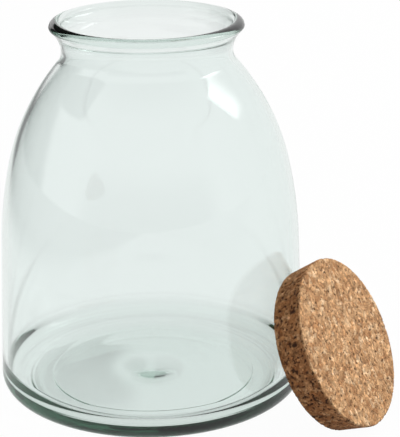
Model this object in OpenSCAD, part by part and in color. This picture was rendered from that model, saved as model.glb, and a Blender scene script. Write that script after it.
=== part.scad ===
// Glass storage jar with a tapered cork lid, shown open: the lid stands beside
// the jar on its small face's edge and leans against the glass.
// Millimetres, +Z up. The origin is the centre of the jar's foot, on the surface
// it stands on, and the lid leans on the jar's +X side.

/* [Jar body] */
// Height of the jar from the foot to the crest of the lip
jar_h = 245; // [235:1:265]
// Widest diameter, just above the rounded heel
belly_d = 198.4; // [188:0.2:208]
// Thickness of the glass in the wall
glass_t = 3.4; // [2.6:0.1:4.2]
// Inward lean of the side wall, in degrees from upright
side_lean = 2.3; // [1:0.1:4]
// Lean that the shoulder curve reaches where the tighter crown curve takes over
shoulder_turn = 12.3; // [8:0.1:18]
// Lean of the crown where it runs into the neck
crown_turn = 41; // [36:0.5:46]
// Shoulder radius as a multiple of the crown radius
shoulder_ratio = 1.87; // [1.4:0.01:2.4]

/* [Neck and lip] */
// Diameter of the mouth, where a stopper seats
mouth_d = 104.8; // [98:0.2:110]
// Height of the straight band inside the mouth
mouth_band_h = 5; // [4:0.5:8]
// Width of the rounded lip, seen from above
lip_w = 8.1; // [7:0.1:9.5]
// Radius of the lip's outer rounding
lip_round = 4.6; // [3.8:0.1:5.2]
// Height of the lip from its lower edge to its crest
lip_h = 4.4; // [2.6:0.1:6]
// How much narrower the neck is inside than the mouth, on each side
neck_in = 2.4; // [1.5:0.1:3.5]
// Height of the lip and the flared neck together, from the narrowest place to the crest
neck_h = 19.7; // [17:0.1:24]
// Radius of the hollow curve between the crown and the neck
neck_round = 10.8; // [7:0.1:15]

/* [Base] */
// Radius of the rounded heel outside
heel_round = 9; // [7:0.5:12]
// Height of the heel rounding's centre
heel_z = 14.3; // [12:0.1:18]
// How far the middle of the standing ring is inside the widest diameter
foot_inset = 25.7; // [22:0.1:30]
// Width of the standing ring
foot_w = 3.4; // [2:0.2:5]
// Height of the floor inside at its lowest, the thickness of the glass there
floor_t = 8.8; // [7:0.1:12]
// Radius of the rounded corner between the floor and the wall inside
corner_round = 17; // [13:0.5:20]
// How far the middle of the base is pushed up, below
push_up_h = 3; // [2:0.1:4.5]
// How much the floor rises inside, from the ring seen in it to its middle
floor_rise = 3; // [1:0.1:3.5]
// How far the ring seen in the floor is inside the standing ring
plateau_inset = 8; // [7:0.1:12]
// Width of the small step down at that ring
plateau_step_w = 1.6; // [1:0.1:3]
// Height of the step
plateau_step_h = 0.4; // [0.2:0.1:0.8]
// Number of fine ripples in the corner inside
ripples = 4; // [3:1:6]
// Height of a ripple
ripple_h = 0.25; // [0.1:0.05:0.4]
// Diameter of the mark in the middle of the base, below
dimple_d = 42; // [30:1:50]
// Depth of the mark
dimple_h = 1; // [0.5:0.1:2]

/* [Cork lid] */
// Thickness of the lid
lid_t = 21; // [16:0.5:28]
// How much wider than the mouth the large face is, on each side
lid_over = 1.7; // [1:0.1:3]
// How much narrower than the mouth the small face is, on each side
lid_under = 1.1; // [0.6:0.1:1.6]
// Edge break on the small face and on the large one
lid_edge = 0.8; // [0.4:0.1:1.5]

/* [Leaning lid] */
// Angle of the lid's axis above level as it leans on the jar
lid_lean = 27; // [15:1:40]
// Gap left between the leaning lid and the glass
lean_gap = 0.3; // [0.1:0.1:1]

/* [Hidden] */
$fn = 96;

// Longest step along the arcs of the outlines, in degrees and in millimetres
arc_step = 12;
chord = 8;

// Lip: one rounding outside, one inside, both on the crest's circle
mouth_r = mouth_d/2;
mouth_round = lip_w - lip_round;
lip_cr = mouth_r + mouth_round;
lip_cz = jar_h - lip_round;
band_top = jar_h - mouth_round;
band_foot = band_top - mouth_band_h;

// Narrowest place of the neck, where the hollow curve below meets the flare
neck_r = mouth_r - neck_in + glass_t;
neck_z = jar_h - neck_h;

// The outer rounding of the lip stops at its lower edge. From there the flare, one
// arc, sweeps in and down to the neck and is upright where it gets there.
lip_turn = asin((jar_h - lip_h - lip_cz)/lip_round);
lip_edge_r = lip_cr + lip_round*cos(lip_turn);
flare_w = lip_edge_r - neck_r;
flare_h = neck_h - lip_h;
flare_turn = 2*atan2(flare_w, flare_h);
flare_r = flare_h/sin(flare_turn);

// Heel, tangent to the leaning side wall
heel_cr = belly_d/2 - heel_round;
heel_top_r = heel_cr + heel_round*cos(side_lean);
heel_top_z = heel_z + heel_round*sin(side_lean);

// Above the side wall come the shoulder arc, the crown arc and the neck's hollow
// curve, each tangent to the next. The side's height and the crown's radius are
// what makes that chain end exactly at the narrowest place of the neck.
turn_r = shoulder_ratio*(cos(side_lean) - cos(shoulder_turn))
       + cos(shoulder_turn) - cos(crown_turn);
turn_z = shoulder_ratio*(sin(shoulder_turn) - sin(side_lean))
       + sin(crown_turn) - sin(shoulder_turn);
chain_r = heel_top_r - neck_r - neck_round*(1 - cos(crown_turn));
chain_z = neck_z - heel_top_z - neck_round*sin(crown_turn);
crown_r = (chain_r - chain_z*tan(side_lean))/(turn_r - turn_z*tan(side_lean));
shoulder_r = shoulder_ratio*crown_r;
side_h = chain_z - crown_r*turn_z;

// Centres of the two arcs, from the side wall's upper end
side_top_r = heel_top_r - side_h*tan(side_lean);
side_top_z = heel_top_z + side_h;
shoulder_cr = side_top_r - shoulder_r*cos(side_lean);
shoulder_cz = side_top_z - shoulder_r*sin(side_lean);
crown_cr = shoulder_cr + (shoulder_r - crown_r)*cos(shoulder_turn);
crown_cz = shoulder_cz + (shoulder_r - crown_r)*sin(shoulder_turn);

// Underside: a shallow slope from the standing ring, tangent to the heel
foot_r = belly_d/2 - foot_inset;
foot_out = foot_r + foot_w/2;
foot_in = foot_r - foot_w/2;
heel_reach = norm([heel_cr - foot_out, heel_z]);
underside = atan2(heel_z, heel_cr - foot_out) - asin(heel_round/heel_reach);

// Corner inside, tangent to the inner wall and to the floor
corner_cz = floor_t + corner_round;
inner_wall = heel_cr*cos(side_lean) + heel_z*sin(side_lean) + heel_round - glass_t;
corner_cr = (inner_wall - corner_round - corner_cz*sin(side_lean))/cos(side_lean);
plateau_r = foot_r - plateau_inset;

// Cork lid, sized on the mouth that it closes
lid_large_r = mouth_r + lid_over;
lid_small_r = mouth_r - lid_under;

// Points of an arc round [cr, cz], between two angles counted up from outward
function arc(cr, cz, rad, from, to) =
    let (sweep = abs(to - from), n = ceil(max(sweep/arc_step, rad*sweep*PI/180/chord)))
    [for (i = [0:n]) let (a = from + (to - from)*i/n) [cr + rad*cos(a), cz + rad*sin(a)]];

// A smooth S-shaped step from one point to another
function blend(p, q, n = 5) =
    [for (i = [0:n]) let (t = i/n) [p.x + (q.x - p.x)*t, p.y + (q.y - p.y)*(1 - cos(180*t))/2]];

// Wall above the heel, with its face moved inward by t
function wall_arcs(t) = concat(
    arc(shoulder_cr, shoulder_cz, shoulder_r - t, side_lean, shoulder_turn),
    arc(crown_cr, crown_cz, crown_r - t, shoulder_turn, crown_turn),
    arc(neck_r + neck_round, neck_z, neck_round + t, 180 + crown_turn, 180));

function reversed(list) = [for (i = [len(list) - 1:-1:0]) list[i]];

// The same closed outline with each point that repeats its neighbour left out
function once(list) =
    [for (i = [0:len(list) - 1]) if (norm(list[i] - list[(i + 1)%len(list)]) > 0.001) list[i]];

// Outside, from the standing ring up to the lip's crest
outside = concat(
    [[foot_in, 0], [foot_out, 0]],
    arc(heel_cr, heel_z, heel_round, underside - 90, side_lean),
    wall_arcs(0),
    arc(neck_r + flare_r, neck_z, flare_r, 180, 180 - flare_turn),
    arc(lip_cr, lip_cz, lip_round, lip_turn, 90));

// Corner inside, rippled where the glass settled against the mould
function ripple(a) = ripple_h*(1 - cos(360*ripples*(a + 90)/(90 + side_lean)))/2;
corner_steps = 4*ripples;
corner = [for (i = [0:corner_steps])
    let (a = side_lean - (90 + side_lean)*i/corner_steps, rad = corner_round - ripple(a))
    [corner_cr + rad*cos(a), corner_cz + rad*sin(a)]];

// Inside, from the lip's crest down to the middle of the floor
floor_z = floor_t + floor_rise;
inside = concat(
    arc(lip_cr, band_top, mouth_round, 90, 180),
    [[mouth_r, band_foot]],
    reversed(wall_arcs(glass_t)),
    corner,
    blend([plateau_r + plateau_step_w, floor_t], [plateau_r, floor_t + plateau_step_h], 3),
    blend([plateau_r, floor_t + plateau_step_h], [dimple_d/2, floor_z]),
    blend([dimple_d/2, floor_z], [0, floor_z + dimple_h/4], 4));

// Below, from the middle of the base out to the standing ring
below = concat(
    blend([0, push_up_h + dimple_h], [dimple_d/2, push_up_h]),
    blend([dimple_d/2, push_up_h], [foot_in, 0]));

// Outer radius of the jar at height z
function jar_r(z) = lookup(z, [for (p = outside) if (p.y > heel_z) [p.y, p.x]]);

// Edge circles of the lid's small end, as [radius, distance from the face]
lid_taper = (lid_large_r - lid_small_r)/lid_t;
small_edges = [[lid_small_r - lid_edge, 0], [lid_small_r + lid_edge*lid_taper, lid_edge]];

// Height of the small face's centre with the lid's lowest edge on the surface
lid_z = max([for (e = small_edges) e[0]*cos(lid_lean) - e[1]*sin(lid_lean)]);

// Its distance from the jar's axis with the edge that leans on the glass clear
// of it by the gap, whichever point of the two edge circles comes nearest
lid_x = max([for (e = small_edges, a = [0:3:180])
    let (up = lid_z + e[1]*sin(lid_lean) + e[0]*sin(a)*cos(lid_lean),
         reach = jar_r(up) + lean_gap,
         side = min(e[0]*cos(a), reach))
    sqrt(reach*reach - side*side) + e[0]*sin(a)*sin(lid_lean) - e[1]*cos(lid_lean)]);

// One wall of glass from the pushed-up base to the rounded lip, as one revolve
module glass_jar() {
    color([0.78, 0.87, 0.83, 0.45])
        rotate_extrude()
            polygon(once(concat(outside, inside, below)));
}

// Tapered disc of pressed cork, its axis along +Z and its small face at z = 0
module cork_disc() {
    large_edge = lid_large_r - lid_edge*lid_taper;
    rotate_extrude()
        polygon([
            [0, 0],
            [lid_small_r - lid_edge, 0],
            [lid_small_r + lid_edge*lid_taper, lid_edge],
            [large_edge, lid_t - lid_edge],
            [lid_large_r - lid_edge, lid_t],
            [0, lid_t]]);
}

// The lid as it stands, its small face turned to the jar
module cork_lid() {
    color([0.74, 0.53, 0.36])
        translate([lid_x, 0, lid_z])
            rotate([0, 90 - lid_lean, 0])
                cork_disc();
}

glass_jar();
cork_lid();
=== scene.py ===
"""Glass storage jar with its cork lid standing beside it, in a white studio."""

import math

import bpy
import numpy as np
from mathutils import Matrix, Vector, kdtree, noise


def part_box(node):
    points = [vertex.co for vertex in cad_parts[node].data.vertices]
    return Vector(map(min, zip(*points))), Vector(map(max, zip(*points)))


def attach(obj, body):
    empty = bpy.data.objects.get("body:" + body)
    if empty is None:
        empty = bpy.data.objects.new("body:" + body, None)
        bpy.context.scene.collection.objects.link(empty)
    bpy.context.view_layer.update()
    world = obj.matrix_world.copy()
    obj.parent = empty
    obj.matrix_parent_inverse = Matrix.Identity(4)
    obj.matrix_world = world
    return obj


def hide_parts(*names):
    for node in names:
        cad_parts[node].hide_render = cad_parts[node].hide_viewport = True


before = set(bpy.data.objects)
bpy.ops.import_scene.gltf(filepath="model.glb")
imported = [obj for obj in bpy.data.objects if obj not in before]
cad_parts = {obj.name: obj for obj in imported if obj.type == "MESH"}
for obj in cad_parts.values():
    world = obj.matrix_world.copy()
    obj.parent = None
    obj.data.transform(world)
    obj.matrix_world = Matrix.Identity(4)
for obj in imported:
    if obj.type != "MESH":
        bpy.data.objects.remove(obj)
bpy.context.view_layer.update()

MM = 0.001
JAR_LOW, JAR_HIGH = (Vector(corner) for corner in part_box("glass_jar"))
LID_LOW, LID_HIGH = (Vector(corner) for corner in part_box("cork_lid"))
JAR_H = JAR_HIGH.z

# Camera

# The photograph: a long lens, a little above the jar, turned so that the lid
# leans to the right and towards the camera. Distances are in jar heights.
PHOTO_H = 437
SENSOR = 36.0
FOCAL_PX = 1589.5
CAMERA_BACK, CAMERA_UP, CAMERA_RIGHT = 3.922, 1.878, 0.1302
CAMERA_PITCH, CAMERA_ROLL = 0.3457, 0.0077
CAMERA_TURN = math.radians(26.8)


def turned(x, y, z):
    """A direction seen with +Y away from the camera, given in the part's frame."""
    return Matrix.Rotation(CAMERA_TURN, 3, "Z") @ Vector((x, y, z))


def light_paths():
    """Enough bounces for light that runs round inside the lip and the heel."""
    paths = bpy.context.scene.cycles
    paths.max_bounces = paths.transmission_bounces = 32
    paths.glossy_bounces = 16


def make_camera():
    data = bpy.data.cameras.new("photo_camera")
    data.sensor_width = SENSOR
    data.lens = FOCAL_PX / PHOTO_H * SENSOR
    data.clip_start, data.clip_end = 0.01, 50
    camera = bpy.data.objects.new("photo_camera", data)
    bpy.context.collection.objects.link(camera)
    right = turned(1, 0, 0)
    ahead = turned(0, math.cos(CAMERA_PITCH), -math.sin(CAMERA_PITCH))
    down = turned(0, -math.sin(CAMERA_PITCH), -math.cos(CAMERA_PITCH))
    cos_roll, sin_roll = math.cos(CAMERA_ROLL), math.sin(CAMERA_ROLL)
    image_right = cos_roll * right + sin_roll * down
    image_up = sin_roll * right - cos_roll * down
    place = turned(CAMERA_RIGHT, -CAMERA_BACK, CAMERA_UP) * JAR_H
    axes = Matrix((image_right, image_up, -ahead)).transposed()
    camera.matrix_world = Matrix.Translation(place) @ axes.to_4x4()
    bpy.context.scene.camera = camera


# Node helpers

def new_material(name):
    material = bpy.data.materials.new(name)
    material.use_nodes = True
    tree = material.node_tree
    tree.nodes.clear()
    return material, tree


def add(tree, kind, **sockets):
    """A node of this kind; each keyword sets the socket or property of its name."""
    node = tree.nodes.new(kind)
    for key, value in sockets.items():
        if hasattr(node, key) and not isinstance(value, tuple):
            setattr(node, key, value)
        else:
            node.inputs[key.replace("_", " ")].default_value = value
    return node


def link(tree, source, target):
    tree.links.new(source, target)


def maths(tree, operation, a, b=None, clamp=False):
    node = tree.nodes.new("ShaderNodeMath")
    node.operation, node.use_clamp = operation, clamp
    for socket, value in zip(node.inputs, (a, b)):
        if value is None:
            continue
        if isinstance(value, (int, float)):
            socket.default_value = value
        else:
            link(tree, value, socket)
    return node.outputs[0]


# The jar's outline

GLASS_T = 3.4 * MM
BELLY_R = min(-JAR_LOW.x, JAR_HIGH.y)
SIDE_LEAN, SHOULDER_TURN, CROWN_TURN = 2.3, 12.3, 41.0
SHOULDER_RATIO = 1.87
MOUTH_R = 52.4 * MM
MOUTH_TAPER = 14.0
LIP_W, LIP_ROUND, LIP_CORNER = 8.1 * MM, 4.6 * MM, 0.7 * MM
LIP_H, NECK_H = 4.4 * MM, 19.7 * MM
NECK_IN, NECK_ROUND = 2.4 * MM, 10.8 * MM
HEEL_ROUND, HEEL_Z = 9 * MM, 14.3 * MM
FOOT_INSET, FOOT_W = 25.7 * MM, 3.4 * MM
FLOOR_T, CORNER_ROUND = 8.8 * MM, 17 * MM
PUSH_UP, FLOOR_RISE = 3 * MM, 3 * MM
PLATEAU_INSET = 8 * MM
STEP_W, STEP_H = 1.3 * MM, 0.45 * MM
RIPPLES, RIPPLE_H = 9, 0.22 * MM
DIMPLE_R, DIMPLE_H = 22 * MM, 1.1 * MM
SPECKLE_H = 0.03 * MM

ARC_STEP = 4.0
CHORD = 2 * MM


def cos(degrees):
    return math.cos(math.radians(degrees))


def sin(degrees):
    return math.sin(math.radians(degrees))


def tan(degrees):
    return math.tan(math.radians(degrees))


def arc(centre_r, centre_z, radius, start, stop):
    """Points of an arc in the outline, its angles counted up from outward."""
    sweep = abs(stop - start)
    steps = math.ceil(max(sweep / ARC_STEP, radius * math.radians(sweep) / CHORD))
    angles = [start + (stop - start) * i / steps for i in range(steps + 1)]
    return [(centre_r + radius * cos(a), centre_z + radius * sin(a)) for a in angles]


def blend(start, stop, steps=12):
    """A smooth S-shaped step from one point to another."""
    return [(start[0] + (stop[0] - start[0]) * i / steps,
             start[1] + (stop[1] - start[1]) * (1 - cos(180 * i / steps)) / 2)
            for i in range(steps + 1)]


def swept(start, start_way, stop, stop_way, steps=16):
    """Points of a smooth curve between two points, each with the way it runs there."""
    p0, p1 = np.array(start), np.array(stop)
    reach = np.linalg.norm(p1 - p0)
    points = []
    for t in np.linspace(0, 1, steps + 1):
        points.append(tuple(
            (2 * t ** 3 - 3 * t ** 2 + 1) * p0 + (t ** 3 - 2 * t ** 2 + t) * reach * np.array(start_way)
            + (3 * t ** 2 - 2 * t ** 3) * p1 + (t ** 3 - t ** 2) * reach * np.array(stop_way)))
    return points


def straight(start, stop):
    """Points between two others, a chord apart and without the ends."""
    steps = max(1, round(math.dist(start, stop) / (2 * CHORD)))
    return [tuple(np.array(start) + (np.array(stop) - start) * i / steps) for i in range(1, steps)]


def jar_outline():
    """(outer, inner) outlines, both from the middle of the base to the lip's crest."""
    neck_r, neck_z = MOUTH_R - NECK_IN + GLASS_T, JAR_H - NECK_H
    heel_r = BELLY_R - HEEL_ROUND
    heel_top = (heel_r + HEEL_ROUND * cos(SIDE_LEAN), HEEL_Z + HEEL_ROUND * sin(SIDE_LEAN))

    # The shoulder, crown and neck arcs run on from the side wall, each tangent
    # to the one before; the crown's radius makes them end at the neck.
    turn_r = (SHOULDER_RATIO * (cos(SIDE_LEAN) - cos(SHOULDER_TURN))
              + cos(SHOULDER_TURN) - cos(CROWN_TURN))
    turn_z = (SHOULDER_RATIO * (sin(SHOULDER_TURN) - sin(SIDE_LEAN))
              + sin(CROWN_TURN) - sin(SHOULDER_TURN))
    chain_r = heel_top[0] - neck_r - NECK_ROUND * (1 - cos(CROWN_TURN))
    chain_z = neck_z - heel_top[1] - NECK_ROUND * sin(CROWN_TURN)
    crown = (chain_r - chain_z * tan(SIDE_LEAN)) / (turn_r - turn_z * tan(SIDE_LEAN))
    shoulder = SHOULDER_RATIO * crown
    side_h = chain_z - crown * turn_z
    shoulder_r = heel_top[0] - side_h * tan(SIDE_LEAN) - shoulder * cos(SIDE_LEAN)
    shoulder_z = heel_top[1] + side_h - shoulder * sin(SIDE_LEAN)
    crown_r = shoulder_r + (shoulder - crown) * cos(SHOULDER_TURN)
    crown_z = shoulder_z + (shoulder - crown) * sin(SHOULDER_TURN)

    def wall(depth):
        return (arc(shoulder_r, shoulder_z, shoulder - depth, SIDE_LEAN, SHOULDER_TURN)
                + arc(crown_r, crown_z, crown - depth, SHOULDER_TURN, CROWN_TURN)
                + arc(neck_r + NECK_ROUND, neck_z, NECK_ROUND + depth, 180 + CROWN_TURN, 180))

    # Base, below and inside
    foot_r = BELLY_R - FOOT_INSET
    foot_in, foot_out = foot_r - FOOT_W / 2, foot_r + FOOT_W / 2
    reach = math.hypot(heel_r - foot_out, HEEL_Z)
    underside = (math.degrees(math.atan2(HEEL_Z, heel_r - foot_out))
                 - math.degrees(math.asin(HEEL_ROUND / reach)))
    inner_wall = heel_r * cos(SIDE_LEAN) + HEEL_Z * sin(SIDE_LEAN) + HEEL_ROUND - GLASS_T
    corner_z = FLOOR_T + CORNER_ROUND
    corner_r = (inner_wall - CORNER_ROUND - corner_z * sin(SIDE_LEAN)) / cos(SIDE_LEAN)
    plateau_r, floor_z = foot_r - PLATEAU_INSET, FLOOR_T + FLOOR_RISE
    corner = []
    for i in range(16 * RIPPLES + 1):
        turn = i / (16 * RIPPLES)
        angle = -90 + (90 + SIDE_LEAN) * turn
        radius = CORNER_ROUND - RIPPLE_H * (1 - turn) ** 2 * (1 - cos(360 * RIPPLES * turn)) / 2
        corner.append((corner_r + radius * cos(angle), corner_z + radius * sin(angle)))

    # Lip and flare. The flare is one arc from the upright neck to the lip's lower
    # edge, which is rounded over a little.
    mouth_round = LIP_W - LIP_ROUND
    lip_r, lip_z = MOUTH_R + mouth_round, JAR_H - LIP_ROUND
    lip_turn = math.degrees(math.asin((JAR_H - LIP_H - lip_z) / LIP_ROUND))
    flare_w, flare_h = lip_r + LIP_ROUND * cos(lip_turn) - neck_r, NECK_H - LIP_H
    flare_turn = 2 * math.degrees(math.atan2(flare_w, flare_h))
    flare = flare_h / sin(flare_turn)
    short = math.degrees(LIP_CORNER / flare)
    flare_end = arc(neck_r + flare, neck_z, flare, 180, 180 - flare_turn + short)
    lip_start = lip_turn + math.degrees(LIP_CORNER / LIP_ROUND)
    lip = arc(lip_r, lip_z, LIP_ROUND, lip_start, 90)
    out_way = (sin(flare_turn - short), cos(flare_turn - short))
    corner_arc = swept(flare_end[-1], out_way, lip[0], (-sin(lip_start), cos(lip_start)), 6)

    # The mouth narrows a little below its rounded edge, down to the neck
    mouth = arc(lip_r, JAR_H - mouth_round, mouth_round, 180 - MOUTH_TAPER, 90)
    neck_in = (neck_r - GLASS_T, neck_z)
    taper = swept(neck_in, (0, 1), mouth[0], (sin(MOUTH_TAPER), cos(MOUTH_TAPER)), 20)

    outer_parts = [
        blend((0, PUSH_UP - DIMPLE_H), (DIMPLE_R, PUSH_UP), 40),
        blend((DIMPLE_R, PUSH_UP), (foot_in, 0), 24),
        [(foot_out, 0)],
        arc(heel_r, HEEL_Z, HEEL_ROUND, underside - 90, SIDE_LEAN),
        wall(0), flare_end, corner_arc, lip]
    inner_parts = [
        blend((0, floor_z + DIMPLE_H), (DIMPLE_R, floor_z), 40),
        blend((DIMPLE_R, floor_z), (plateau_r, FLOOR_T + STEP_H), 24),
        blend((plateau_r, FLOOR_T + STEP_H), (plateau_r + STEP_W, FLOOR_T), 6),
        corner,
        wall(GLASS_T), taper, mouth]
    return joined(outer_parts), joined(inner_parts)


def joined(parts):
    """One outline through all the parts, with points along its straight stretches."""
    points = []
    for part in parts:
        for point in part:
            if points and math.dist(points[-1], point) < 0.01 * MM:
                continue
            if points and math.dist(points[-1], point) > 2 * CHORD:
                points += straight(points[-1], point)
            points.append(point)
    return points


def revolved(name, outline, turns, wander=None):
    """A closed mesh of revolution whose outline starts and ends on the axis."""
    rings = np.array(outline[1:-1])
    angles = np.linspace(0, 2 * math.pi, turns, endpoint=False)
    verts = np.empty((len(rings), turns, 3))
    radius, height = rings[:, :1], rings[:, 1:]
    verts[:, :, 0] = radius * np.cos(angles)
    verts[:, :, 1] = radius * np.sin(angles)
    verts[:, :, 2] = height
    if wander is not None:
        wander(verts)
    ring = np.arange(len(rings) - 1)[:, None] * turns
    step = np.arange(turns)[None, :]
    beside = (step + 1) % turns
    quads = np.stack([ring + step, ring + turns + step, ring + turns + beside, ring + beside], -1)
    first, last = len(rings) * turns, len(rings) * turns + 1
    end = (len(rings) - 1) * turns
    caps = [(first, i, (i + 1) % turns) for i in range(turns)]
    caps += [(last, end + (i + 1) % turns, end + i) for i in range(turns)]
    points = verts.reshape(-1, 3).tolist()
    points += [(0, 0, outline[0][1]), (0, 0, outline[-1][1])]
    mesh = bpy.data.meshes.new(name)
    mesh.from_pydata(points, [], quads.reshape(-1, 4).tolist() + caps)
    mesh.shade_smooth()
    mesh.update()
    return mesh


# Glass

def glass_material():
    material, tree = new_material("pale_green_glass")
    glass = add(tree, "ShaderNodeBsdfPrincipled", Roughness=0.0, IOR=1.51)
    glass.inputs["Base Color"].default_value = (0.979, 1, 0.998, 1)
    glass.inputs["Transmission Weight"].default_value = 1.0
    clear = add(tree, "ShaderNodeBsdfTransparent")
    clear.inputs["Color"].default_value = (0.90, 0.95, 0.93, 1)
    path = add(tree, "ShaderNodeLightPath")
    mix = add(tree, "ShaderNodeMixShader")
    link(tree, path.outputs["Is Shadow Ray"], mix.inputs[0])
    link(tree, glass.outputs[0], mix.inputs[1])
    link(tree, clear.outputs[0], mix.inputs[2])
    tint = add(tree, "ShaderNodeVolumeAbsorption")
    tint.inputs["Color"].default_value = (0.14, 0.42, 0.29, 1)
    tint.inputs["Density"].default_value = 20.0
    out = add(tree, "ShaderNodeOutputMaterial")
    link(tree, mix.outputs[0], out.inputs["Surface"])
    link(tree, tint.outputs[0], out.inputs["Volume"])
    return material


WAVE_H = 0.22 * MM


def wavy(verts):
    """Blown glass: both faces of the wall sink in a little, in long slow waves."""
    turns = verts.shape[1]
    for ring in verts:
        height = ring[0][2]
        for point in ring:
            radius = math.hypot(point[0], point[1])
            way = Vector((point[0], point[1], 0.6 * height))
            depth = noise.noise(way / (33 * MM)) + 0.5 * noise.noise(way / (15 * MM) + Vector((4, 4, 4)))
            share = min(1.0, max(0.0, (height - 45 * MM) / (40 * MM))) * min(1.0, (JAR_H - height) / (25 * MM))
            point[:2] *= 1 - share * WAVE_H * (0.5 + 0.5 * depth) / radius
            if radius < DIMPLE_R and height > FLOOR_T:
                point[2] += SPECKLE_H * noise.noise(way / (2.2 * MM)) * (1 - (radius / DIMPLE_R) ** 2)


def make_jar():
    outer, inner = jar_outline()
    outline = inner + outer[::-1][1:]
    mesh = revolved("jar_glass", outline, 256, wavy)
    jar = bpy.data.objects.new("jar_glass", mesh)
    bpy.context.collection.objects.link(jar)
    mesh.materials.append(glass_material())
    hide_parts("glass_jar")
    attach(jar, "jar")
    return jar


# Cork

LID_T, LID_EDGE, LID_LEAN = 21 * MM, 0.8 * MM, 27.0
LARGE_R, SMALL_R = MOUTH_R + 1.7 * MM, MOUTH_R - 1.1 * MM
FACE_GRID = 180
GRAIN = 3.1 * MM
GRAIN_SEED = 7
CELLS = 480.0


def lid_profile():
    """(radius, height) corners down the lid's side, from face to face."""
    taper = (LARGE_R - SMALL_R) / LID_T
    corners = [(LARGE_R - LID_EDGE, LID_T), (LARGE_R - LID_EDGE * taper, LID_T - LID_EDGE),
               (SMALL_R + LID_EDGE * taper, LID_EDGE), (SMALL_R - LID_EDGE, 0)]
    return corners


def lid_pose():
    """Where the leaning lid stands: its profile, turned, fills the CAD lid's box."""
    turn = Matrix.Rotation(math.radians(90 - LID_LEAN), 4, "Y")
    ends = [turn @ Vector((r, 0, z)) for r, z in lid_profile()]
    low = [turn @ Vector((-r, 0, z)) for r, z in lid_profile()]
    across = LID_HIGH.x - max(p.x for p in ends)
    up = LID_LOW.z - min(p.z for p in ends + low)
    return Matrix.Translation((across, 0, up)) @ turn


def on_disc(u, v):
    """A square grid's point (-1 to 1) moved evenly onto the unit disc."""
    if u == 0 and v == 0:
        return 0.0, 0.0
    if abs(u) > abs(v):
        radius, angle = u, math.pi / 4 * v / u
    else:
        radius, angle = v, math.pi / 2 - math.pi / 4 * u / v
    return radius * math.cos(angle), radius * math.sin(angle)


def lid_surface():
    """Vertices, their outward normals and the quads of the plain lid."""
    verts, normals, quads = [], [], []
    profile = lid_profile()
    n = FACE_GRID
    for face_r, height, up in ((profile[0][0], LID_T, 1), (profile[-1][0], 0, -1)):
        first = len(verts)
        for j in range(n + 1):
            for i in range(n + 1):
                x, y = on_disc(2 * i / n - 1, 2 * j / n - 1)
                verts.append((x * face_r, y * face_r, height))
                normals.append((0, 0, up))
        for j in range(n):
            for i in range(n):
                a = first + j * (n + 1) + i
                quad = (a, a + 1, a + n + 2, a + n + 1)
                quads.append(quad if up > 0 else quad[::-1])

    # The square's border, once round, at each height of the side
    border = ([(i, 0) for i in range(n)] + [(n, j) for j in range(n)]
              + [(i, n) for i in range(n, 0, -1)] + [(0, j) for j in range(n, 0, -1)])
    angles = [math.atan2(*reversed(on_disc(2 * i / n - 1, 2 * j / n - 1))) for i, j in border]
    rows = [[j * (n + 1) + i for i, j in border]]
    path = []
    for (r0, z0), (r1, z1) in zip(profile, profile[1:]):
        steps = max(2, round(math.dist((r0, z0), (r1, z1)) / (0.5 * MM)))
        slope = Vector((z0 - z1, r1 - r0)).normalized()
        path += [(r0 + (r1 - r0) * k / steps, z0 + (z1 - z0) * k / steps, slope)
                 for k in range(1, steps + 1)]
    for r, z, slope in path[:-1]:
        rows.append(list(range(len(verts), len(verts) + len(border))))
        for angle in angles:
            verts.append((r * math.cos(angle), r * math.sin(angle), z))
            normals.append((slope[0] * math.cos(angle), slope[0] * math.sin(angle), slope[1]))
    rows.append([(n + 1) ** 2 + j * (n + 1) + i for i, j in border])
    for upper, lower in zip(rows, rows[1:]):
        for k in range(len(border)):
            after = (k + 1) % len(border)
            quads.append((upper[k], lower[k], lower[after], upper[after]))
    return verts, normals, quads


CHIP_REACH = 1.6 * MM


def distance_to_rim(point):
    """How far a point of the lid's surface is from the nearer of its two edges."""
    radius = math.hypot(point.x, point.y)
    return min(math.dist((radius, point.z), rim) for rim in ((LARGE_R, LID_T), (SMALL_R, 0)))


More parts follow.
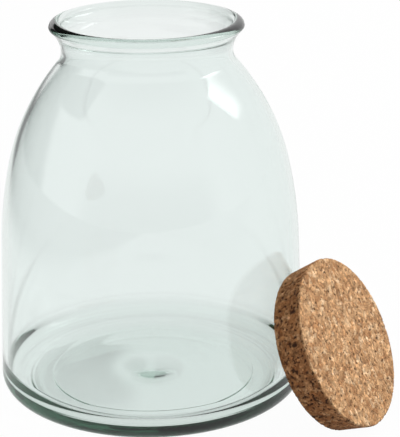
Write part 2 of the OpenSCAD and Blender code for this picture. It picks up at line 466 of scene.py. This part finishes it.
def make_lid():
    verts, normals, quads = lid_surface()
    rng = np.random.default_rng(GRAIN_SEED)

    # Granules: one seed in each cell of a jittered grid, so that every face
    # shows a slice through the same pressed grains
    reach = LARGE_R + 2 * GRAIN
    steps = np.arange(-reach, reach, GRAIN)
    cells = np.array([(x, y, z) for x in steps for y in steps
                      for z in np.arange(-2 * GRAIN, LID_T + 2 * GRAIN, GRAIN)
                      if math.hypot(x, y) < reach])
    seeds = cells + rng.uniform(-0.62, 0.62, cells.shape) * GRAIN
    tone = rng.random(len(seeds))
    sunk = rng.random(len(seeds)) ** 2
    tree = kdtree.KDTree(len(seeds))
    for index, seed in enumerate(seeds):
        tree.insert(seed, index)
    tree.balance()
    holes = rng.random(len(seeds)) < 0.07

    moved, tones, pit_shading, sides = [], [], [], []
    for co, normal in zip(verts, normals):
        point = Vector(co)
        normal = Vector(normal)
        side = 1 - abs(normal.z)
        wavy = point + 0.30 * GRAIN * noise.noise_vector(point / (0.9 * MM)) \
            + 0.35 * GRAIN * noise.noise_vector(point / (2.4 * MM) + Vector((9, 2, 5)))
        (_, near, d0), (_, _, d1) = tree.find_n(wavy, 2)
        seam = max(0.0, 1 - (d1 - d0) / (0.26 * GRAIN))
        rim = max(0.0, 1 - distance_to_rim(point) / CHIP_REACH)
        chip = rim * max(0.0, noise.noise(point / (1.5 * MM) + Vector((5, 1, 8))) - 0.12)
        pocket = noise.noise(point / (1.9 * MM) + Vector((3, 7, 1)))
        pit = max(0.0, min(1.0, (pocket - (0.34 - 0.16 * side)) * 5)) * (0.4 + 0.6 * seam)
        if holes[near] and d0 < 0.45 * GRAIN:
            pit = max(pit, min(1.0, (0.45 * GRAIN - d0) / (0.12 * GRAIN)) * (0.35 + 0.65 * side))
        depth = (0.02 + 0.10 * sunk[near] + 0.12 * seam + (0.45 + 0.35 * side) * pit + 2.2 * chip) * MM
        moved.append(point - normal * depth)
        tones.append(tone[near])
        # How far the colour is darkened: painted shade in pits and rim chips, and a little along the granule
        # seams.
        pit_shading.append(min(1.0, pit + 0.35 * seam + 1.5 * chip))
        sides.append(side)
    mesh = bpy.data.meshes.new("cork_disc")
    mesh.from_pydata([tuple(p) for p in moved], [], quads)
    for name, values in (("tone", tones), ("pit", pit_shading), ("side", sides)):
        mesh.attributes.new(name, "FLOAT", "POINT").data.foreach_set("value", values)
    mesh.transform(lid_pose())
    mesh.shade_smooth()
    mesh.update()
    lid = bpy.data.objects.new("cork_disc", mesh)
    bpy.context.collection.objects.link(lid)
    mesh.materials.append(cork_material())
    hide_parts("cork_lid")
    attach(lid, "lid")
    return lid


def ramp(tree, source, stops, smooth=False):
    node = tree.nodes.new("ShaderNodeValToRGB")
    node.color_ramp.interpolation = "EASE" if smooth else "LINEAR"
    while len(node.color_ramp.elements) < len(stops):
        node.color_ramp.elements.new(0.5)
    for element, (place, colour) in zip(node.color_ramp.elements, stops):
        element.position = place
        element.color = (*colour, 1) if isinstance(colour, tuple) else (colour, colour, colour, 1)
    link(tree, source, node.inputs[0])
    return node.outputs[0]


def blended(tree, factor, first, second, kind="MIX"):
    node = tree.nodes.new("ShaderNodeMix")
    node.data_type, node.blend_type = "RGBA", kind
    for socket, value in ((node.inputs[0], factor), (node.inputs[6], first), (node.inputs[7], second)):
        if isinstance(value, (int, float)):
            socket.default_value = value
        elif isinstance(value, tuple):
            socket.default_value = (*value, 1)
        else:
            link(tree, value, socket)
    return node.outputs[2]


def cork_material():
    material, tree = new_material("pressed_cork")
    coords = add(tree, "ShaderNodeTexCoord")
    place = coords.outputs["Object"]
    tone = add(tree, "ShaderNodeAttribute")
    tone.attribute_name = "tone"
    pit = add(tree, "ShaderNodeAttribute")
    pit.attribute_name = "pit"

    side = add(tree, "ShaderNodeAttribute")
    side.attribute_name = "side"

    # Large grains from the mesh, small ones and their dark seams from a cell
    # pattern whose borders are pushed about
    granule = ramp(tree, tone.outputs["Fac"], [
        (0.0, (0.36, 0.17, 0.068)), (0.18, (0.46, 0.24, 0.104)), (0.5, (0.55, 0.31, 0.145)),
        (0.8, (0.62, 0.375, 0.19)), (1.0, (0.76, 0.52, 0.31))])
    push = add(tree, "ShaderNodeTexNoise", Scale=800.0, Detail=2.0)
    link(tree, place, push.inputs["Vector"])
    pushed = add(tree, "ShaderNodeVectorMath", operation="MULTIPLY_ADD")
    link(tree, push.outputs["Color"], pushed.inputs[0])
    pushed.inputs[1].default_value = (1.4 * MM, 1.4 * MM, 1.4 * MM)
    link(tree, place, pushed.inputs[2])
    grains = add(tree, "ShaderNodeTexVoronoi", Scale=CELLS)
    link(tree, pushed.outputs[0], grains.inputs["Vector"])
    parts = add(tree, "ShaderNodeSeparateColor")
    link(tree, grains.outputs["Color"], parts.inputs[0])
    seams = add(tree, "ShaderNodeTexVoronoi", feature="DISTANCE_TO_EDGE", Scale=CELLS)
    link(tree, pushed.outputs[0], seams.inputs["Vector"])
    colour = blended(tree, 1.0, granule,
                     ramp(tree, parts.outputs[0], [(0.0, 0.62), (0.25, 0.88), (0.75, 1.05), (1.0, 1.40)]),
                     "MULTIPLY")
    mottle = add(tree, "ShaderNodeTexNoise", Scale=900.0, Detail=4.0, Roughness=0.65)
    link(tree, place, mottle.inputs["Vector"])
    colour = blended(tree, 1.0, colour,
                     ramp(tree, mottle.outputs["Fac"], [(0.3, 0.72), (0.5, 1.0), (0.72, 1.25)]), "MULTIPLY")
    specks = add(tree, "ShaderNodeTexNoise", Scale=620.0, Detail=2.0, Roughness=0.5)
    shifted = add(tree, "ShaderNodeVectorMath", operation="ADD")
    shifted.inputs[1].default_value = (0.31, 0.17, 0.43)
    link(tree, place, shifted.inputs[0])
    link(tree, shifted.outputs[0], specks.inputs["Vector"])
    broken = ramp(tree, specks.outputs["Fac"], [(0.38, 1.0), (0.52, 0.15)])
    line = maths(tree, "MULTIPLY", ramp(tree, seams.outputs["Distance"], [(0.0, 1.0), (0.10, 0.0)]), broken)
    bark = ramp(tree, specks.outputs["Fac"], [(0.31, 1.0), (0.36, 0.0)])
    dark = maths(tree, "MULTIPLY", maths(tree, "MAXIMUM", line, bark), 0.8)
    colour = blended(tree, dark, colour, (0.085, 0.034, 0.013))
    # Pits and rim chips are cut into the mesh, and their colour is also darkened nearly to black: painted shade
    # in the hollows.
    pit_shade = ramp(tree, pit.outputs["Fac"], [(0.12, 0.0), (0.8, 1.0)])
    colour = blended(tree, maths(tree, "MULTIPLY", pit_shade, 0.9), colour, (0.045, 0.016, 0.006))
    # The side is darker and more saturated all round: partly cork cut across its grains, partly painted shade.
    colour = blended(tree, maths(tree, "MULTIPLY", side.outputs["Fac"], 1.0), colour,
                     blended(tree, 1.0, colour, (0.60, 0.44, 0.33), "MULTIPLY"))

    fine = add(tree, "ShaderNodeTexNoise", Scale=2600.0, Detail=3.0, Roughness=0.6)
    link(tree, place, fine.inputs["Vector"])
    bump = add(tree, "ShaderNodeBump", Strength=0.35, Distance=0.0002)
    link(tree, fine.outputs["Fac"], bump.inputs["Height"])

    cork = add(tree, "ShaderNodeBsdfPrincipled")
    cork.inputs["Specular IOR Level"].default_value = 0.25
    link(tree, colour, cork.inputs["Base Color"])
    link(tree, bump.outputs[0], cork.inputs["Normal"])
    link(tree, ramp(tree, mottle.outputs["Fac"], [(0.3, 0.92), (0.7, 0.78)]), cork.inputs["Roughness"])
    out = add(tree, "ShaderNodeOutputMaterial")
    link(tree, cork.outputs[0], out.inputs["Surface"])
    return material


# Studio

def shown(tree):
    """(seen, bent, bounced): seen is 1 for what the camera, a reflection or the
    glass shows and 0 for light, bent leaves out what the camera sees direct, and
    bounced is 1 once a reflection is on the way."""
    path = add(tree, "ShaderNodeLightPath")
    bent = maths(tree, "MAXIMUM", path.outputs["Is Glossy Ray"], path.outputs["Is Transmission Ray"])
    seen = maths(tree, "MAXIMUM", path.outputs["Is Camera Ray"], bent)
    bounced = maths(tree, "MULTIPLY", bent, path.outputs["Glossy Depth"], clamp=True)
    bounced = maths(tree, "ADD", bounced, step(tree, path.outputs["Glossy Depth"], 1.5, 3.5, 0.0, 6.0))
    return seen, bent, bounced


def from_camera_side(tree, vector):
    """The vector's parts to the photographer's right, away from the camera and up."""
    turn = add(tree, "ShaderNodeVectorRotate", rotation_type="Z_AXIS")
    turn.inputs["Angle"].default_value = -CAMERA_TURN
    link(tree, vector, turn.inputs["Vector"])
    parts = add(tree, "ShaderNodeSeparateXYZ")
    link(tree, turn.outputs[0], parts.inputs[0])
    return parts.outputs


def step(tree, value, start, stop, low=0.0, high=1.0):
    """A smooth step from low to high as the value goes from start to stop."""
    node = add(tree, "ShaderNodeMapRange", interpolation_type="SMOOTHSTEP")
    for index, number in enumerate((start, stop, low, high), 1):
        node.inputs[index].default_value = number
    link(tree, value, node.inputs[0])
    return node.outputs[0]


# The white table and sweep, as reflections in the glass show them: the room
# beyond the table's front and left side is darker. In metres from the jar's axis.
TABLE_SIDE, TABLE_FRONT, TABLE_FADE = 0.30, 0.10, 0.35
ROOM_LEFT, ROOM_FRONT = 0.35, 0.85
# A painted shadow: the floor that the glass shows is dimmed to this share, within this radius of the jar's axis.
PAINTED_SHADOW_UNDER_JAR, PAINTED_SHADOW_UNDER_JAR_R = 0.92, 0.11
BACKDROP = 0.95
SEEN_FLOOR = 0.97


def make_floor():
    size, drop = 6.0, 0.2 * MM
    mesh = bpy.data.meshes.new("studio_floor")
    corners = [(-size, -size, -drop), (size, -size, -drop), (size, size, -drop), (-size, size, -drop)]
    mesh.from_pydata(corners, [], [(0, 1, 2, 3)])
    floor = bpy.data.objects.new("studio_floor", mesh)
    bpy.context.collection.objects.link(floor)
    material, tree = new_material("pale_floor")
    seen, bent, bounced = shown(tree)
    coords = add(tree, "ShaderNodeTexCoord")
    right, away, _ = from_camera_side(tree, coords.outputs["Object"])
    beside = step(tree, right, -TABLE_SIDE, -TABLE_SIDE - TABLE_FADE, 1.0, ROOM_LEFT)
    before = step(tree, away, -TABLE_FRONT, -TABLE_FRONT - TABLE_FADE, 1.0, ROOM_FRONT)
    room = maths(tree, "MINIMUM", beside, before)
    strength = maths(tree, "POWER", room, bounced)
    length = add(tree, "ShaderNodeVectorMath", operation="LENGTH")
    link(tree, coords.outputs["Object"], length.inputs[0])
    # Painted shadow under the jar: within about 0.11 m of its axis, the floor that the glass reflects or shows
    # through is dimmed.
    painted_shadow = step(tree, length.outputs["Value"], PAINTED_SHADOW_UNDER_JAR_R - 0.02, PAINTED_SHADOW_UNDER_JAR_R + 0.02,
                 PAINTED_SHADOW_UNDER_JAR * BACKDROP, BACKDROP)
    strength = maths(tree, "MULTIPLY", strength, maths(tree, "POWER", painted_shadow, bent))
    matt = add(tree, "ShaderNodeBsdfDiffuse")
    matt.inputs["Color"].default_value = (0.6, 0.6, 0.6, 1)
    shine = add(tree, "ShaderNodeEmission")
    link(tree, strength, shine.inputs["Strength"])
    mix = add(tree, "ShaderNodeMixShader")
    link(tree, maths(tree, "MULTIPLY", seen, SEEN_FLOOR), mix.inputs[0])
    link(tree, matt.outputs[0], mix.inputs[1])
    link(tree, shine.outputs[0], mix.inputs[2])
    out = add(tree, "ShaderNodeOutputMaterial")
    link(tree, mix.outputs[0], out.inputs["Surface"])
    mesh.materials.append(material)


def make_world():
    world = bpy.data.worlds.new("studio")
    bpy.context.scene.world = world
    world.use_nodes = True
    tree = world.node_tree
    tree.nodes.clear()
    seen, bent, bounced = shown(tree)
    coords = add(tree, "ShaderNodeTexCoord")
    right, away, up = from_camera_side(tree, coords.outputs["Generated"])

    # Behind the camera low down, overhead, and behind the jar on the left, the
    # studio is darker than its white sweep
    overhead = step(tree, up, 0.70, 0.95, 1.0, 0.55)
    front = maths(tree, "MULTIPLY", step(tree, away, -0.40, -0.80), step(tree, up, 0.55, 0.10))
    front = step(tree, front, 0.0, 1.0, 1.0, 0.5)
    toward_left = maths(tree, "ADD", maths(tree, "MULTIPLY", right, -0.85), maths(tree, "MULTIPLY", away, 0.52))
    left = maths(tree, "MULTIPLY", step(tree, toward_left, 0.84, 0.93), step(tree, up, 0.62, 0.50))
    level = maths(tree, "SQRT", maths(tree, "SUBTRACT", 1.0, maths(tree, "MULTIPLY", up, up)))
    beside = maths(tree, "ADD", maths(tree, "MULTIPLY", right, -0.82), maths(tree, "MULTIPLY", away, 0.57))
    beside = step(tree, maths(tree, "DIVIDE", beside, level), 0.60, 0.68)
    lower = maths(tree, "ADD", up, maths(tree, "MULTIPLY", maths(tree, "DIVIDE", away, level), 0.25))
    high = maths(tree, "MULTIPLY", step(tree, lower, 0.47, 0.52), step(tree, up, 0.92, 0.80))
    left = maths(tree, "MAXIMUM", left, maths(tree, "MULTIPLY", beside, high))
    room = maths(tree, "MINIMUM", overhead, maths(tree, "MINIMUM", front, step(tree, left, 0.0, 1.0, 1.0, 0.04)))
    strength = maths(tree, "MULTIPLY", maths(tree, "POWER", room, bounced),
                     maths(tree, "POWER", BACKDROP, bent))

    lit = add(tree, "ShaderNodeBackground")
    link(tree, step(tree, up, 0.1, 0.9, AMBIENT, OVERHEAD), lit.inputs["Strength"])
    lit.inputs["Color"].default_value = (1, 1, 1, 1)
    white = add(tree, "ShaderNodeBackground")
    white.inputs["Color"].default_value = (1, 1, 1, 1)
    link(tree, strength, white.inputs["Strength"])
    mix = add(tree, "ShaderNodeMixShader")
    link(tree, seen, mix.inputs[0])
    link(tree, lit.outputs[0], mix.inputs[1])
    link(tree, white.outputs[0], mix.inputs[2])
    out = add(tree, "ShaderNodeOutputWorld")
    link(tree, mix.outputs[0], out.inputs["Surface"])


AMBIENT, OVERHEAD = 0.12, 1.1
KEY_AWAY, KEY_LIGHT, KEY_SHOWN = 2.5, 9.0, 4.0
KEY_GRID = 12

# The key light's corners, as azimuths from the camera's side turning right and
# as heights above level, in degrees: near bottom, far bottom, near top, far top
KEY_CORNERS = ((102, 20), (136, 14), (84, 42), (136, 46))


def make_key():
    """A soft light on the right, brightest along its near edge."""
    centre = Vector((0, 0, 0.8 * JAR_H))
    points, places = [], []
    for j in range(KEY_GRID + 1):
        for i in range(KEY_GRID + 1):
            u, v = i / KEY_GRID, j / KEY_GRID
            azimuth, height = ((1 - v) * ((1 - u) * KEY_CORNERS[0][k] + u * KEY_CORNERS[1][k])
                               + v * ((1 - u) * KEY_CORNERS[2][k] + u * KEY_CORNERS[3][k]) for k in (0, 1))
            way = turned(sin(azimuth) * cos(height), -cos(azimuth) * cos(height), sin(height))
            points.append(tuple(centre + KEY_AWAY * way))
            places += [u, v, 0]
    quads = [(a, a + 1, a + KEY_GRID + 2, a + KEY_GRID + 1)
             for j in range(KEY_GRID) for a in range(j * (KEY_GRID + 1), j * (KEY_GRID + 1) + KEY_GRID)]
    mesh = bpy.data.meshes.new("key")
    mesh.from_pydata(points, [], quads)
    mesh.attributes.new("place", "FLOAT_VECTOR", "POINT").data.foreach_set("vector", places)
    lamp = bpy.data.objects.new("key", mesh)
    bpy.context.collection.objects.link(lamp)

    material, tree = new_material("key_light")
    place = add(tree, "ShaderNodeAttribute")
    place.attribute_name = "place"
    parts = add(tree, "ShaderNodeSeparateXYZ")
    link(tree, place.outputs["Vector"], parts.inputs[0])
    far = step(tree, parts.outputs[0], 0.0, 0.6, KEY_SHOWN, 0.0)
    edge = step(tree, parts.outputs[1], 0.0, 0.3)
    top = step(tree, parts.outputs[1], 1.0, 0.9)
    seen, _, _ = shown(tree)
    profile = maths(tree, "MULTIPLY", far, maths(tree, "MULTIPLY", edge, top))
    lit = maths(tree, "MULTIPLY", maths(tree, "SUBTRACT", 1.0, seen), KEY_LIGHT)
    strength = maths(tree, "ADD", maths(tree, "MULTIPLY", profile, seen), lit)
    shine = add(tree, "ShaderNodeEmission")
    link(tree, strength, shine.inputs["Strength"])
    clear = add(tree, "ShaderNodeBsdfTransparent")
    both = add(tree, "ShaderNodeAddShader")
    link(tree, shine.outputs[0], both.inputs[0])
    link(tree, clear.outputs[0], both.inputs[1])
    out = add(tree, "ShaderNodeOutputMaterial")
    link(tree, both.outputs[0], out.inputs["Surface"])
    mesh.materials.append(material)
    lamp.visible_camera = False


make_camera()
light_paths()
make_floor()
make_world()
make_key()
make_jar()
make_lid()
bpy.context.scene.view_settings.view_transform = "Standard"
